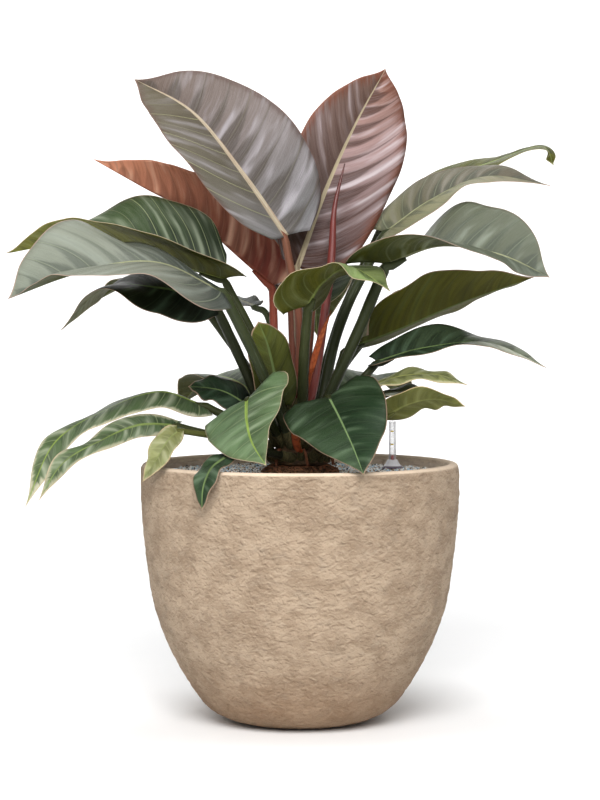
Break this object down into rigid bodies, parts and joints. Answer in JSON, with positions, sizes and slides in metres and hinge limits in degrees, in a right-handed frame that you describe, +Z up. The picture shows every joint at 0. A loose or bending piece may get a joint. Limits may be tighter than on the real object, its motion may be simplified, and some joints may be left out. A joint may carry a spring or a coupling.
{
  "type": "potted imperial red philodendron",
  "caption": "Floor-standing philodendron with broad bronze and green leaves in a round hammered beige pot filled with mineral granules and fitted with a water level meter.",
  "frame": {"origin": "centre of the pot's flat underside", "axes": "+Z up the pot's axis; -Y towards the side that shows in the picture"},
  "size_m": [0.7009, 0.5453, 0.8231],
  "materials": {
    "pot": "matt hammered relief in sandy beige, smoother at the rim",
    "substrate": "matt mixed white, pale blue, beige and dark grey mineral grains",
    "root_ball": "matt dark brown potting soil bound with fine orange-brown roots",
    "crown": "dull fibrous brown leaf scars and green-brown stem tissue",
    "new_leaf_spike": "semi-gloss dark red rolled leaf",
    "leaf_bronze": "glossy grey-purple to bronze leaf with soft cross pleats and a cream midrib",
    "leaf_red": "semi-gloss red-brown leaf back with pale veins",
    "leaf_green": "glossy green leaf with pale cross veins and a cream margin",
    "leaf_grey": "glossy blue-grey green leaf with pale streaks",
    "leaf_dark": "glossy dark green leaf with an olive back",
    "leaf_pale": "dull yellow-green ageing leaf",
    "sheath": "dry papery orange-brown leaf sheath",
    "meter_pipe": "matt dark grey plastic",
    "meter_cap": "satin grey-lilac plastic",
    "meter_tube": "clear plastic with two plain yellow marks",
    "meter_float": "red plastic tip on a thin rod"
  },
  "bodies": {
    "planter": {"pot": "pot", "substrate": "substrate", "root_ball": "root_ball", "crown": "crown", "new_leaf_spike": "new_leaf_spike", "leaf_01": "leaf_bronze", "leaf_02": "leaf_bronze", "leaf_03": "leaf_red", "leaf_04": "leaf_green", "leaf_05": "leaf_grey", "leaf_06": "leaf_dark", "leaf_07": "leaf_grey", "leaf_08": "leaf_green", "leaf_09": "leaf_dark", "leaf_10": "leaf_dark", "leaf_11": "leaf_pale", "leaf_12": "leaf_grey", "leaf_13": "leaf_pale", "leaf_14": "leaf_dark", "leaf_15": "leaf_green", "leaf_16": "leaf_green", "leaf_17": "leaf_green", "leaf_18": "leaf_pale", "leaf_19": "leaf_dark", "leaf_20": "leaf_dark", "leaf_21": "leaf_grey", "leaf_22": "leaf_dark", "leaf_23": "leaf_grey", "leaf_24": "leaf_green", "leaf_25": "leaf_bronze", "leaf_26": "leaf_bronze", "leaf_27": "leaf_green", "leaf_28": "leaf_green", "leaf_29": "leaf_green", "leaf_30": "leaf_dark", "leaf_31": "leaf_green", "leaf_32": "leaf_green", "sheath_01": "sheath", "sheath_02": "sheath", "meter_pipe": "meter_pipe", "meter_cap": "meter_cap", "meter_tube": "meter_tube"},
    "float": {"meter_float": "meter_float"}
  },
  "joints": [
    {"name": "float_rise", "type": "slide", "parent": "planter", "child": "float", "axis": [0, 0, 1], "range_m": [0, 0.038]}
  ]
}
